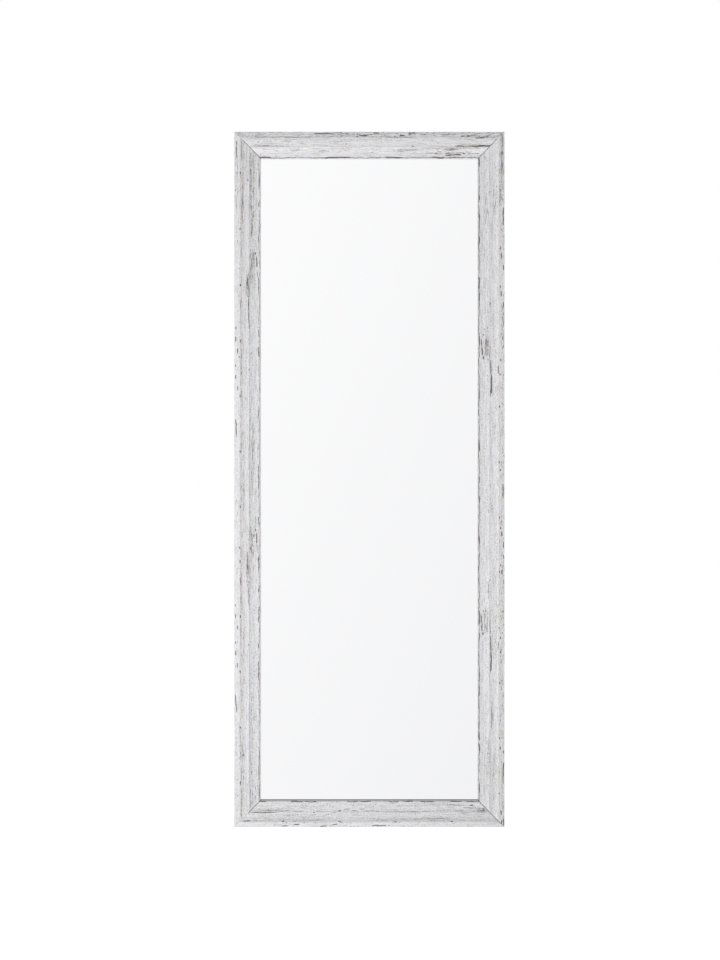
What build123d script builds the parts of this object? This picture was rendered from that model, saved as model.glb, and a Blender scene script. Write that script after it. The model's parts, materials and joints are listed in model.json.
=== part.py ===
"""Easel-back floor mirror: a mitred, scooped moulding around a full-length glass.

The frame leans back on two rubber floor pads and a tubular prop stand that folds flat against
its back. Millimetres, +Z up, floor at Z 0, front of the mirror towards -Y, X across the frame.
"""

import os
from math import cos, radians, sin

from build123d import *

# ---- Overall size and stance -------------------------------------------------------------
frame_width = 700.0  # across the frame, outside to outside
frame_height = 1800.0  # along the leaning face, outside to outside
lean_angle = 8.0  # the face's angle from upright, in degrees
spread_angle = 16.0  # the stand's angle from the frame's back when open, in degrees
heel_gap = 0.8  # floor to the frame's lower back edge

# ---- Moulding section: distances from the outer edge, heights from the flat back ----------
face_width = 69.0  # outer edge to sight edge
outer_edge_height = 23.0
ridge_offset = 15.7
ridge_height = 30.0
crease_offset = 40.0
crease_height = 27.0
crease_drop = 1.5  # from the outer scoop down to the inner scoop
crease_run = 0.8
arris_height = 21.5  # where the inner scoop ends and the sight edge begins
sight_slope_width = 4.2
lip_height = 13.5  # underside of the lip that covers the glass edge
scoop_depth = 1.6  # how far each scoop sags below a straight bevel
ridge_round = 0.9
edge_round = 0.8

# ---- Glazing -----------------------------------------------------------------------------
glass_thickness = 4.0
glass_overlap = 7.0  # glass hidden behind the lip
glass_arris = 0.5  # ground edge of the glass
edge_clearance = 1.5  # glass edge to rebate wall
tape_thickness = 0.8
tape_width = 5.0
tape_setback = 1.0  # tape edge behind the sight edge
foam_thickness = 1.0
board_thickness = 3.0

# ---- Fixings in the back -----------------------------------------------------------------
pilot_clearance = 0.05
screw_radius = 2.0
screw_length = 16.0
screw_head_radius = 3.8
screw_point = 4.0
pan_head_height = 2.2
recess_depth = 1.4
recess_width = 0.9
recess_span = 4.4

v_nail_leg = 7.0
v_nail_thickness = 0.8
v_nail_depth = 10.0
v_nail_offsets = (13.0, 42.0)  # apexes along the mitre, from both outer edges

plate_leg = 70.0
plate_width = 16.0
plate_thickness = 2.0
plate_offset = 17.0  # outer edge of the frame to the plate
plate_corner_round = 3.0
plate_hole_spacing = 34.0
plate_hole_setback = 9.0  # last hole to the end of the leg

clip_width = 18.0
clip_thickness = 1.2
clip_foot = 12.0
clip_tongue = 12.0
clip_bend = 1.0
clip_riser_gap = 0.5  # rebate wall to the clip's riser
clip_spacing_short = 240.0
clip_spacing_long = 440.0
clips_per_short_rail = 2
clips_per_long_rail = 4

hanger_spacing = 400.0
hanger_width = 20.0
hanger_height = 52.0
hanger_thickness = 2.0
hanger_offset = 30.0  # top edge of the frame to the hanger's middle
hanger_hole_spacing = 42.0
keyhole_radius = 5.0
keyhole_slot_width = 4.6
keyhole_slot_rise = 11.0
keyhole_drop = 5.0  # round end below the hanger's middle
keyhole_pocket_width = 14.0
keyhole_pocket_margin = 3.0
keyhole_pocket_depth = 9.0

pad_length = 60.0
pad_width = 8.0
pad_setback = 1.5  # behind edge of the pad to the frame's back
pad_pocket = 1.5
pad_inset = 70.0  # from the frame's side to the pad's near end

# ---- Prop stand --------------------------------------------------------------------------
pivot_height = 1100.0  # along the back, from the frame's lower edge
pivot_offset = 22.0  # behind the frame's back
leg_inset = 30.0  # frame's side to the leg's centre line
tube_radius = 9.5
tube_wall = 1.5
tube_bend = 60.0  # centre-line radius of the stand's lower corners
plug_flange = 3.0
plug_stem = 14.0
plug_clearance = 0.1
plug_round = 1.0
stop_gap = 0.3  # open stand's tube end to the bracket's base
sleeve_wall = 3.0
sleeve_length = 70.0
sleeve_setback = 15.0  # from the end of the tube's bend to the sleeve
sleeve_clearance = 0.03
sleeve_round = 1.0

bracket_width = 38.0
bracket_length = 112.0
bracket_thickness = 2.5
bracket_round = 6.0
bracket_hole_spacing_x = 18.0
bracket_hole_spacing_y = 94.0
ear_round = 11.0  # radius of the ear's end around the pivot
ear_root = 44.0  # length of the ear where it leaves the base
saddle_radius = 8.0
saddle_lip = 1.0  # saddle washer proud of the tube
saddle_sink = 2.5  # how far the saddle reaches down the tube's side
ear_play = 0.1

bolt_radius = 3.0
bolt_ear_clearance = 0.05
bolt_tube_clearance = 0.08
bolt_head_radius = 5.5
bolt_head_height = 3.3
bolt_head_round = 1.5
bolt_socket_radius = 2.3
bolt_socket_depth = 1.8
bolt_end = 1.5  # bolt past the nut
nut_across_flats = 10.0
nut_height = 6.0
nut_collar_radius = 4.3
nut_collar_height = 1.5

# ---- Sizes that follow from the ones above -----------------------------------------------
sight_width = frame_width - 2 * face_width
sight_height = frame_height - 2 * face_width
glass_width = sight_width + 2 * glass_overlap
glass_height = sight_height + 2 * glass_overlap
rebate_offset = face_width - glass_overlap - edge_clearance
glass_front = lip_height - tape_thickness
glass_back = glass_front - glass_thickness
foam_back = glass_back - foam_thickness
board_back = foam_back - board_thickness

lean = radians(lean_angle)
prop = radians(spread_angle - lean_angle)  # the open leg's angle from upright
sleeve_radius = tube_radius + sleeve_wall
pivot_rise = heel_gap + pivot_height * cos(lean) - pivot_offset * sin(lean)
leg_length = (pivot_rise - sleeve_radius) / cos(prop)
leg_across = frame_width / 2 - leg_inset
sleeve_across = leg_across - tube_bend - sleeve_setback - sleeve_length / 2
stop_reach = (
    pivot_offset - bracket_thickness - stop_gap - tube_radius * cos(radians(spread_angle))
) / sin(radians(spread_angle))
tube_top = stop_reach - plug_flange
ear_gap = 2 * (tube_radius + saddle_lip + ear_play)

front_reach = ridge_height * cos(lean) - ridge_offset * sin(lean)
rear_reach = pivot_height * sin(lean) + pivot_offset * cos(lean) + leg_length * sin(prop) + sleeve_radius
heel = (front_reach - rear_reach) / 2  # keeps the origin under the middle of the standing mirror

# The flat back of the frame: X across, Y up the frame, Z towards the front.
back = Plane(origin=(0, heel, heel_gap), x_dir=(1, 0, 0), z_dir=(0, -cos(lean), sin(lean)))


def on_back(across, up, forward=0.0, turn=0.0):
    """The back plane moved by a distance in its own directions and turned in itself."""
    return Plane(back.location * Location((across, up, forward), (0, 0, turn)))


# Each rail's plane lies at the middle of its outer back edge: X along it, Y towards the glass.
rail_planes = {
    "bottom": on_back(0, 0),
    "right": on_back(frame_width / 2, frame_height / 2, turn=90),
    "top": on_back(0, frame_height, turn=180),
    "left": on_back(-frame_width / 2, frame_height / 2, turn=270),
}
rail_lengths = {
    "bottom": frame_width,
    "right": frame_height,
    "top": frame_width,
    "left": frame_height,
}
# Each corner's plane has both its axes along the outer edges, into the frame.
corner_planes = [
    on_back(-frame_width / 2, 0, turn=0),
    on_back(frame_width / 2, 0, turn=90),
    on_back(frame_width / 2, frame_height, turn=180),
    on_back(-frame_width / 2, frame_height, turn=270),
]
# Where the stand's legs turn, on the back of each side rail.
leg_sides = (-leg_across, leg_across)


def within(plane, points, forward=0.0):
    """A plane at each point of another plane, turned as that plane is."""
    return [Plane(plane.location * Location((x, y, forward))) for x, y in points]


def export(part, name):
    """Labels a finished sub-part and writes it to its own file."""
    part.label = name
    export_step(part, f"parts/{name}.step")


os.makedirs("parts", exist_ok=True)

# ---- Screws, pointing along +Z with the seat of the head on Z 0 ---------------------------
with BuildPart() as cross_recess:
    Box(recess_span, recess_width, recess_depth, align=(Align.CENTER, Align.CENTER, Align.MIN))
    Box(recess_width, recess_span, recess_depth, align=(Align.CENTER, Align.CENTER, Align.MIN))

with BuildPart() as countersunk_screw:
    with BuildSketch(Plane.XZ) as screw_section:
        with BuildLine():
            Polyline(
                (0, 0),
                (screw_head_radius, 0),
                (screw_radius, screw_head_radius - screw_radius),
                (screw_radius, screw_length - screw_point),
                (0, screw_length),
                close=True,
            )
        make_face()
    revolve(axis=Axis.Z)
    add(cross_recess.part, mode=Mode.SUBTRACT)

with BuildPart() as pan_screw:
    with BuildSketch(Plane.XZ) as pan_section:
        with BuildLine():
            Line((0, -pan_head_height), (0, screw_length))
            Line((0, screw_length), (screw_radius, screw_length - screw_point))
            Line((screw_radius, screw_length - screw_point), (screw_radius, 0))
            Line((screw_radius, 0), (screw_head_radius, 0))
            EllipticalCenterArc(
                (0, 0), screw_head_radius, pan_head_height, start_angle=-90, arc_size=90
            )
        make_face()
    revolve(axis=Axis.Z)
    with Locations((0, 0, -pan_head_height)):
        add(cross_recess.part, mode=Mode.SUBTRACT)


# ---- Places of the fixings ----------------------------------------------------------------
def clip_places(side):
    """Positions along one rail of the clips that hold the board in."""
    if side in ("top", "bottom"):
        count, spacing = clips_per_short_rail, clip_spacing_short
    else:
        count, spacing = clips_per_long_rail, clip_spacing_long
    return [(i - (count - 1) / 2) * spacing for i in range(count)]


clip_foot_start = rebate_offset + clip_riser_gap + clip_thickness - clip_foot - clip_thickness
clip_screw_offset = clip_foot_start + clip_foot / 2
clip_screw_planes = [
    spot
    for side, plane in rail_planes.items()
    for spot in within(plane, [(x, clip_screw_offset) for x in clip_places(side)], -clip_thickness)
]

plate_middle = plate_offset + plate_width / 2
plate_far_hole = plate_offset + plate_leg - plate_hole_setback
plate_near_hole = plate_far_hole - plate_hole_spacing
plate_holes = [
    (plate_near_hole, plate_middle),
    (plate_far_hole, plate_middle),
    (plate_middle, plate_near_hole),
    (plate_middle, plate_far_hole),
]
plate_screw_planes = [
    spot for plane in corner_planes for spot in within(plane, plate_holes, -plate_thickness)
]

bracket_holes = [
    (x * bracket_hole_spacing_x / 2, y * bracket_hole_spacing_y / 2) for x in (-1, 1) for y in (-1, 1)
]
bracket_screw_planes = [
    spot
    for side in leg_sides
    for spot in within(on_back(side, pivot_height), bracket_holes, -bracket_thickness)
]

hanger_middle = frame_height - hanger_offset
hanger_sides = (-hanger_spacing / 2, hanger_spacing / 2)
hanger_holes = [(0, -hanger_hole_spacing / 2), (0, hanger_hole_spacing / 2)]
hanger_screw_planes = [
    spot
    for side in hanger_sides
    for spot in within(on_back(side, hanger_middle), hanger_holes, -hanger_thickness)
]

pad_middle = frame_width / 2 - pad_inset - pad_length / 2
pad_forward = pad_setback + pad_width / 2

# ---- V-nails across the mitres -------------------------------------------------------------
with BuildPart() as corner_v_nails:
    for corner in corner_planes:
        with BuildSketch(corner):
            with Locations(*[(offset, offset) for offset in v_nail_offsets]):
                Rectangle(v_nail_leg, v_nail_thickness, align=(Align.MIN, Align.MIN))
                Rectangle(v_nail_thickness, v_nail_leg, align=(Align.MIN, Align.MIN))
        extrude(amount=v_nail_depth)
export(corner_v_nails.part, "corner_v_nails")

# ---- What is drilled and routed out of the rails -------------------------------------------
with BuildPart() as cut_outs:
    add(corner_v_nails.part)
    for spot in clip_screw_planes + plate_screw_planes + bracket_screw_planes + hanger_screw_planes:
        with Locations(spot):
            Cylinder(
                screw_radius + pilot_clearance,
                screw_length + pilot_clearance,
                align=(Align.CENTER, Align.CENTER, Align.MIN),
            )
    for side in hanger_sides:
        with BuildSketch(on_back(side, hanger_middle)):
            with Locations((0, (keyhole_slot_rise - 2 * keyhole_drop) / 2)):
                SlotOverall(
                    keyhole_slot_rise + 2 * keyhole_radius + 2 * keyhole_pocket_margin,
                    keyhole_pocket_width,
                    rotation=90,
                )
        extrude(amount=keyhole_pocket_depth)
    for side in (-pad_middle, pad_middle):
        with BuildSketch(Plane(on_back(side, 0, pad_forward).origin, back.x_dir, back.y_dir)):
            Rectangle(pad_length, pad_width)
        extrude(amount=pad_pocket)


# ---- Frame rails ---------------------------------------------------------------------------
def moulding_outline():
    """Closed line of the moulding's section: X from the outer edge, Y from the flat back."""
    ridge = (ridge_offset, ridge_height)
    crease_top = (crease_offset, crease_height)
    crease_foot = (crease_offset + crease_run, crease_height - crease_drop)
    arris = (face_width - sight_slope_width, arris_height)
    Line((0, 0), (0, outer_edge_height))
    Line((0, outer_edge_height), ridge)
    SagittaArc(ridge, crease_top, -scoop_depth)
    Line(crease_top, crease_foot)
    SagittaArc(crease_foot, arris, -scoop_depth)
    Line(arris, (face_width, lip_height))
    Line((face_width, lip_height), (rebate_offset, lip_height))
    Line((rebate_offset, lip_height), (rebate_offset, 0))
    Line((rebate_offset, 0), (0, 0))


for side, edge in rail_planes.items():
    half = rail_lengths[side] / 2
    with BuildPart() as rail:
        with BuildSketch(Plane(edge.origin, x_dir=edge.y_dir, z_dir=edge.x_dir)) as section:
            with BuildLine():
                moulding_outline()
            make_face()
            corners = section.vertices()
            fillet(corners.sort_by_distance((ridge_offset, ridge_height))[0], ridge_round)
            fillet(corners.sort_by_distance((0, outer_edge_height))[0], edge_round)
        extrude(amount=half, both=True)
        with BuildSketch(edge):
            Polygon(
                (-half, 0),
                (half, 0),
                (half - face_width, face_width),
                (face_width - half, face_width),
                align=None,
            )
        extrude(amount=ridge_height, mode=Mode.INTERSECT)
        add(cut_outs.part, mode=Mode.SUBTRACT)
    export(rail.part, f"frame_rail_{side}")

# ---- Glass, its bedding tape, foam sheet and backing board ----------------------------------
glazing = on_back(0, frame_height / 2)

with BuildPart() as mirror_glass:
    with BuildSketch(glazing.offset(glass_back)):
        Rectangle(glass_width, glass_height)
    extrude(amount=glass_thickness)
    chamfer(mirror_glass.edges(), glass_arris)
export(mirror_glass.part, "mirror_glass")

tape_across = sight_width / 2 + tape_setback + tape_width / 2
tape_up = sight_height / 2 + tape_setback + tape_width / 2
with BuildPart() as glass_tape:
    with BuildSketch(glazing.offset(glass_front)):
        with Locations((-tape_across, 0), (tape_across, 0)):
            Rectangle(tape_width, sight_height + 2 * (tape_setback + tape_width))
        with Locations((0, -tape_up), (0, tape_up)):
            Rectangle(sight_width + 2 * tape_setback, tape_width)
    extrude(amount=tape_thickness)
export(glass_tape.part, "glass_tape")

with BuildPart() as foam_sheet:
    with BuildSketch(glazing.offset(foam_back)):
        Rectangle(glass_width, glass_height)
    extrude(amount=foam_thickness)
export(foam_sheet.part, "foam_sheet")

with BuildPart() as backing_board:
    with BuildSketch(glazing.offset(board_back)):
        Rectangle(glass_width, glass_height)
    extrude(amount=board_thickness)
export(backing_board.part, "backing_board")

# ---- Offset clips and their screws -----------------------------------------------------------
riser_offset = rebate_offset + clip_riser_gap + clip_thickness

with BuildPart() as backing_clips:
    for side, edge in rail_planes.items():
        for place in clip_places(side):
            start = Plane(edge.location * Location((place - clip_width / 2, 0, 0)))
            with BuildSketch(Plane(start.origin, x_dir=edge.y_dir, z_dir=edge.x_dir)):
                with BuildLine():
                    FilletPolyline(
                        (clip_foot_start, -clip_thickness),
                        (riser_offset, -clip_thickness),
                        (riser_offset, board_back - clip_thickness),
                        (riser_offset + clip_tongue, board_back - clip_thickness),
                        radius=clip_bend,
                    )
                    offset(amount=clip_thickness, side=Side.LEFT)
                make_face()
            extrude(amount=clip_width)
    for spot in clip_screw_planes:
        with Locations(spot):
            Cylinder(screw_radius + pilot_clearance, 4 * clip_thickness, mode=Mode.SUBTRACT)
export(backing_clips.part, "backing_clips")

with BuildPart() as backing_clip_screws:
    with Locations(*clip_screw_planes):
        add(pan_screw.part)
export(backing_clip_screws.part, "backing_clip_screws")

# ---- Corner plates and their screws ----------------------------------------------------------
with BuildPart() as corner_plates:
    for corner in corner_planes:
        with BuildSketch(corner) as plate_outline:
            with Locations((plate_offset, plate_offset)):
                Rectangle(plate_leg, plate_width, align=(Align.MIN, Align.MIN))
                Rectangle(plate_width, plate_leg, align=(Align.MIN, Align.MIN))
            fillet(plate_outline.vertices(), plate_corner_round)
        extrude(amount=-plate_thickness)
    with Locations(*[Plane(p.origin, p.x_dir, -p.z_dir) for p in plate_screw_planes]):
        CounterSinkHole(screw_radius + pilot_clearance, screw_head_radius + pilot_clearance)
export(corner_plates.part, "corner_plates")

with BuildPart() as corner_plate_screws:
    with Locations(*plate_screw_planes):
        add(countersunk_screw.part)
export(corner_plate_screws.part, "corner_plate_screws")

# ---- Keyhole hangers on the top rail -----------------------------------------------------------
with BuildPart() as keyhole_hangers:
    for side in hanger_sides:
        with BuildSketch(on_back(side, hanger_middle)):
            SlotOverall(hanger_height, hanger_width, rotation=90)
            with Locations((0, -keyhole_drop)):
                Circle(keyhole_radius, mode=Mode.SUBTRACT)
            with Locations((0, keyhole_slot_rise / 2 - keyhole_drop)):
                SlotCenterToCenter(
                    keyhole_slot_rise, keyhole_slot_width, rotation=90, mode=Mode.SUBTRACT
                )
        extrude(amount=-hanger_thickness)
    with Locations(*[Plane(p.origin, p.x_dir, -p.z_dir) for p in hanger_screw_planes]):
        CounterSinkHole(screw_radius + pilot_clearance, screw_head_radius + pilot_clearance)
export(keyhole_hangers.part, "keyhole_hangers")

with BuildPart() as hanger_screws:
    with Locations(*hanger_screw_planes):
        add(countersunk_screw.part)
export(hanger_screws.part, "hanger_screws")

# ---- Floor pads, glued into shallow pockets, with soles cut to the floor -------------------------
with BuildPart() as floor_pads:
    for side in (-pad_middle, pad_middle):
        pad_seat = on_back(side, pad_pocket, pad_forward)
        with BuildSketch(Plane(pad_seat.origin, back.x_dir, -back.y_dir)):
            Rectangle(pad_length, pad_width)
        extrude(amount=pad_pocket + 4 * (heel_gap + pad_width * sin(lean)))
    split(bisect_by=Plane.XY, keep=Keep.TOP)
export(floor_pads.part, "floor_pads")

# ---- Stand brackets, screwed to the side rails ---------------------------------------------------
for name, side in zip(("left", "right"), leg_sides):
    with BuildPart() as bracket:
        with BuildSketch(on_back(side, pivot_height)) as base_outline:
            RectangleRounded(bracket_width, bracket_length, bracket_round)
        extrude(amount=-bracket_thickness)
        for ear in (-1, 1):
            ear_face = on_back(side + ear * ear_gap / 2, pivot_height)
            with BuildSketch(Plane(ear_face.origin, x_dir=back.y_dir, z_dir=back.x_dir)):
                with Locations((0, -pivot_offset)):
                    Circle(ear_round)
                with Locations((0, -bracket_thickness / 2)):
                    Rectangle(ear_root, bracket_thickness)
                make_hull()
                with Locations((0, -pivot_offset)):
                    Circle(bolt_radius + bolt_ear_clearance, mode=Mode.SUBTRACT)
            extrude(amount=ear * bracket_thickness)
        with Locations(
            *within(
                Plane(on_back(side, pivot_height, -bracket_thickness).origin, back.x_dir, -back.z_dir),
                bracket_holes,
            )
        ):
            CounterSinkHole(
                screw_radius + pilot_clearance,
                screw_head_radius + pilot_clearance,
                depth=bracket_thickness,
            )
    export(bracket.part, f"stand_bracket_{name}")

with BuildPart() as stand_bracket_screws:
    with Locations(*bracket_screw_planes):
        add(countersunk_screw.part)
export(stand_bracket_screws.part, "stand_bracket_screws")

# ---- Prop stand, drawn open: X across, Y up the legs from the pivot -------------------------------
stand = Plane(on_back(0, pivot_height, -pivot_offset).location * Location((0, 0, 0), (spread_angle, 0, 0)))


def across_stand(across, up):
    """A plane in the stand whose Z points along X, for what is turned about the stand's width."""
    spot = stand.location * Location((across, up, 0))
    return Plane(spot.position, x_dir=stand.y_dir, z_dir=stand.x_dir)


with BuildPart() as stand_tube:
    with BuildLine(stand) as tube_line:
        FilletPolyline(
            (-leg_across, tube_top),
            (-leg_across, -leg_length),
            (leg_across, -leg_length),
            (leg_across, tube_top),
            radius=tube_bend,
        )
    with BuildSketch(tube_line.line ^ 0):
        Circle(tube_radius)
        Circle(tube_radius - tube_wall, mode=Mode.SUBTRACT)
    sweep(path=tube_line.line)
    for side in leg_sides:
        with Locations(across_stand(side, 0)):
            Cylinder(bolt_radius + bolt_tube_clearance, 3 * tube_radius, mode=Mode.SUBTRACT)
export(stand_tube.part, "stand_tube")

with BuildPart() as stand_end_plugs:
    for side in leg_sides:
        leg_end = Plane(
            (stand.location * Location((side, tube_top, 0))).position, stand.x_dir, stand.y_dir
        )
        with BuildSketch(leg_end):
            Circle(tube_radius)
        extrude(amount=plug_flange)
        with BuildSketch(leg_end):
            Circle(tube_radius - tube_wall - plug_clearance)
        extrude(amount=-plug_stem)
    ends = stand_end_plugs.faces().sort_by(Axis(stand.origin, stand.y_dir))[-2:]
    fillet(ends.edges(), plug_round)
export(stand_end_plugs.part, "stand_end_plugs")

with BuildPart() as stand_foot_sleeves:
    for side in (-sleeve_across, sleeve_across):
        with BuildSketch(across_stand(side - sleeve_length / 2, -leg_length)):
            Circle(sleeve_radius)
        extrude(amount=sleeve_length)
    fillet(stand_foot_sleeves.edges(), sleeve_round)
    for side in (-sleeve_across, sleeve_across):
        with BuildSketch(across_stand(side - sleeve_length / 2, -leg_length)):
            Circle(tube_radius + sleeve_clearance)
        extrude(amount=sleeve_length, mode=Mode.SUBTRACT)
export(stand_foot_sleeves.part, "stand_foot_sleeves")

# Saddle washers: flat towards the bracket's ears and hollowed to the tube.
with BuildPart() as stand_saddle_washers:
    for side in leg_sides:
        with BuildSketch(across_stand(side, 0)):
            Circle(saddle_radius)
            Circle(bolt_radius + bolt_tube_clearance, mode=Mode.SUBTRACT)
        extrude(amount=tube_radius + saddle_lip, both=True)
        with BuildSketch(across_stand(side, 0)):
            Circle(saddle_radius + saddle_lip)
        extrude(amount=tube_radius - saddle_sink, both=True, mode=Mode.SUBTRACT)
        leg_middle = Plane((stand.location * Location((side, 0, 0))).position, stand.x_dir, stand.y_dir)
        with Locations(leg_middle):
            Cylinder(tube_radius + sleeve_clearance, 4 * saddle_radius, mode=Mode.SUBTRACT)
export(stand_saddle_washers.part, "stand_saddle_washers")

# ---- Pivot bolts and lock nuts: heads outside, nuts inside ------------------------------------------
ear_outer = ear_gap / 2 + bracket_thickness
pivot_axis = on_back(0, pivot_height, -pivot_offset)

with BuildPart() as stand_pivot_bolts:
    for side in leg_sides:
        outward = 1 if side > 0 else -1
        nut_face = side - outward * ear_outer
        head_seat = Plane(
            (pivot_axis.location * Location((side + outward * ear_outer, 0, 0))).position,
            x_dir=back.y_dir,
            z_dir=outward * back.x_dir,
        )
        with BuildSketch(head_seat):
            Circle(bolt_head_radius)
        extrude(amount=bolt_head_height)
        with BuildSketch(head_seat):
            Circle(bolt_radius)
        extrude(amount=-(2 * ear_outer + nut_height + bolt_end))
    heads = stand_pivot_bolts.faces().filter_by(Plane.YZ).sort_by(Axis.X)
    fillet((heads[:1] + heads[-1:]).edges(), bolt_head_round)
    for side in leg_sides:
        outward = 1 if side > 0 else -1
        socket_mouth = side + outward * (ear_outer + bolt_head_height)
        socket_plane = Plane(
            (pivot_axis.location * Location((socket_mouth, 0, 0))).position,
            x_dir=back.y_dir,
            z_dir=outward * back.x_dir,
        )
        with BuildSketch(socket_plane):
            RegularPolygon(bolt_socket_radius, 6)
        extrude(amount=-bolt_socket_depth, mode=Mode.SUBTRACT)
export(stand_pivot_bolts.part, "stand_pivot_bolts")

with BuildPart() as stand_pivot_nuts:
    for side in leg_sides:
        outward = 1 if side > 0 else -1
        nut_seat = Plane(
            (pivot_axis.location * Location((side - outward * ear_outer, 0, 0))).position,
            x_dir=back.y_dir,
            z_dir=-outward * back.x_dir,
        )
        with BuildSketch(nut_seat):
            RegularPolygon(nut_across_flats / 2, 6, major_radius=False)
            Circle(bolt_radius, mode=Mode.SUBTRACT)
        extrude(amount=nut_height - nut_collar_height)
        with BuildSketch(nut_seat.offset(nut_height - nut_collar_height)):
            Circle(nut_collar_radius)
            Circle(bolt_radius, mode=Mode.SUBTRACT)
        extrude(amount=nut_collar_height)
export(stand_pivot_nuts.part, "stand_pivot_nuts")
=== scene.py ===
"""Full-length floor mirror: rubbed whitewashed moulding, silvered glass, the fixings of its back and
the finish of its folding stand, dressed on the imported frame. Metres and radians unless a name says mm."""

import json
import math
from collections import Counter

import bpy
import numpy as np
from mathutils import Matrix, Vector


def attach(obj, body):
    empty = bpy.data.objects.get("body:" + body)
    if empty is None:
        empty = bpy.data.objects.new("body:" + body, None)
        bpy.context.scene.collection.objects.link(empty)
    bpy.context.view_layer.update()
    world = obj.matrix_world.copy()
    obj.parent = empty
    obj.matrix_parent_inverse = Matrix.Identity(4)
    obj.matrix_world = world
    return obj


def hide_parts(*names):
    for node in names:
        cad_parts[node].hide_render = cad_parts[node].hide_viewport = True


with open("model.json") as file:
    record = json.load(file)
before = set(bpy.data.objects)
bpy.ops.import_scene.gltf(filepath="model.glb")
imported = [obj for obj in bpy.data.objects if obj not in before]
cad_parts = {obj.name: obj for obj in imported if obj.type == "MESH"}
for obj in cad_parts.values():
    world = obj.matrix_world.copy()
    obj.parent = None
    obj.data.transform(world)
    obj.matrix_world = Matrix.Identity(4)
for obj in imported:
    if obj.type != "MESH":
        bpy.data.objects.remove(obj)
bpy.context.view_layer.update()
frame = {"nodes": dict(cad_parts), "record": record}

MM = 0.001
RAILS = ("bottom", "right", "top", "left")

# ---- The leaning frame's own axes: X across, Y up the frame, Z out of its front ---------------------
hanger_way = next(Vector(m["axis"]) for m in frame["record"]["mounts"] if m["name"] == "keyhole_left")
lean = math.atan2(-hanger_way.z, hanger_way.y)
tilt = Matrix.Rotation(math.pi / 2 - lean, 4, "X")


def leaning_box(*names):
    """Lowest and highest corner of CAD nodes along the frame's own axes."""
    untilt = tilt.inverted()
    points = [untilt @ v.co for name in names for v in frame["nodes"][name].data.vertices]
    return [Vector(pick(p[i] for p in points) for i in range(3)) for pick in (min, max)]


rails_low, rails_high = leaning_box(*(f"frame_rail_{side}" for side in RAILS))
on_mirror = tilt @ Matrix.Translation((0, rails_low.y, rails_low.z))
frame_width = rails_high.x - rails_low.x
frame_height = rails_high.y - rails_low.y
ridge_height = rails_high.z - rails_low.z
left_low, left_high = leaning_box("frame_rail_left")
face_width = left_high.x - left_low.x

# ---- Moulding section: distances from the outer edge and heights from the back -----------------------
outer_edge_height = 23.0 * MM
ridge_offset = 15.7 * MM
crease_offset = 40.0 * MM
crease_height = 27.0 * MM
crease_drop = 1.5 * MM
crease_run = 0.8 * MM
arris_height = 21.5 * MM
sight_slope_width = 4.2 * MM
lip_height = 13.5 * MM
rebate_offset = 60.5 * MM
scoop_depth = 1.6 * MM
back_skin = 0.1 * MM  # keeps the back's wood just under the steel let into it

# ---- Camera, daylight and floor ----------------------------------------------------------------------
view_distance = 4.2
lens = 60.95
view_across = -0.0243  # the camera's place beside the mirror's middle line
view_up = -0.0016


def make_camera():
    """A camera square on to the leaning glass."""
    camera = bpy.data.objects.new("camera", bpy.data.cameras.new("camera"))
    camera.data.lens = lens
    camera.data.sensor_width = 36
    middle = Vector((view_across, frame_height / 2 + view_up, ridge_height + view_distance))
    camera.location = on_mirror @ middle
    camera.rotation_euler = tilt.to_euler()
    bpy.context.scene.collection.objects.link(camera)
    bpy.context.scene.camera = camera


def linear(red, green, blue):
    """A colour given as on a screen, 0 to 255, turned to linear light."""
    shares = (channel / 255 for channel in (red, green, blue))
    return tuple(s / 12.92 if s <= 0.04045 else ((s + 0.055) / 1.055) ** 2.4 for s in shares) + (1.0,)


class Socket:
    """A node's output that can be reckoned with, as in 1 - mask * 0.5."""

    def __init__(self, finish, output):
        self.finish = finish
        self.output = output

    def maths(self, operation, *others, clamp=False):
        """One step of arithmetic on this value and others."""
        settings = {"operation": operation, "use_clamp": clamp}
        return self.finish.node("ShaderNodeMath", settings, dict(enumerate((self, *others))))

    def __add__(self, other):
        return self.maths("ADD", other)

    def __radd__(self, other):
        return self.maths("ADD", other)

    def __sub__(self, other):
        return self.maths("SUBTRACT", other)

    def __rsub__(self, other):
        return self.finish.node("ShaderNodeMath", {"operation": "SUBTRACT"}, {0: other, 1: self})

    def __mul__(self, other):
        return self.maths("MULTIPLY", other)

    def __rmul__(self, other):
        return self.maths("MULTIPLY", other)

    def __truediv__(self, other):
        return self.maths("DIVIDE", other)

    def __pow__(self, other):
        return self.maths("POWER", other)

    def clamped(self):
        """The value kept between 0 and 1."""
        return self.maths("ADD", 0.0, clamp=True)

    def between(self, low, high):
        """0 at low and 1 at high, eased at both ends."""
        sockets = {"Value": self, "From Min": low, "From Max": high}
        return self.finish.node("ShaderNodeMapRange", {"interpolation_type": "SMOOTHSTEP"}, sockets)


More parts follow.
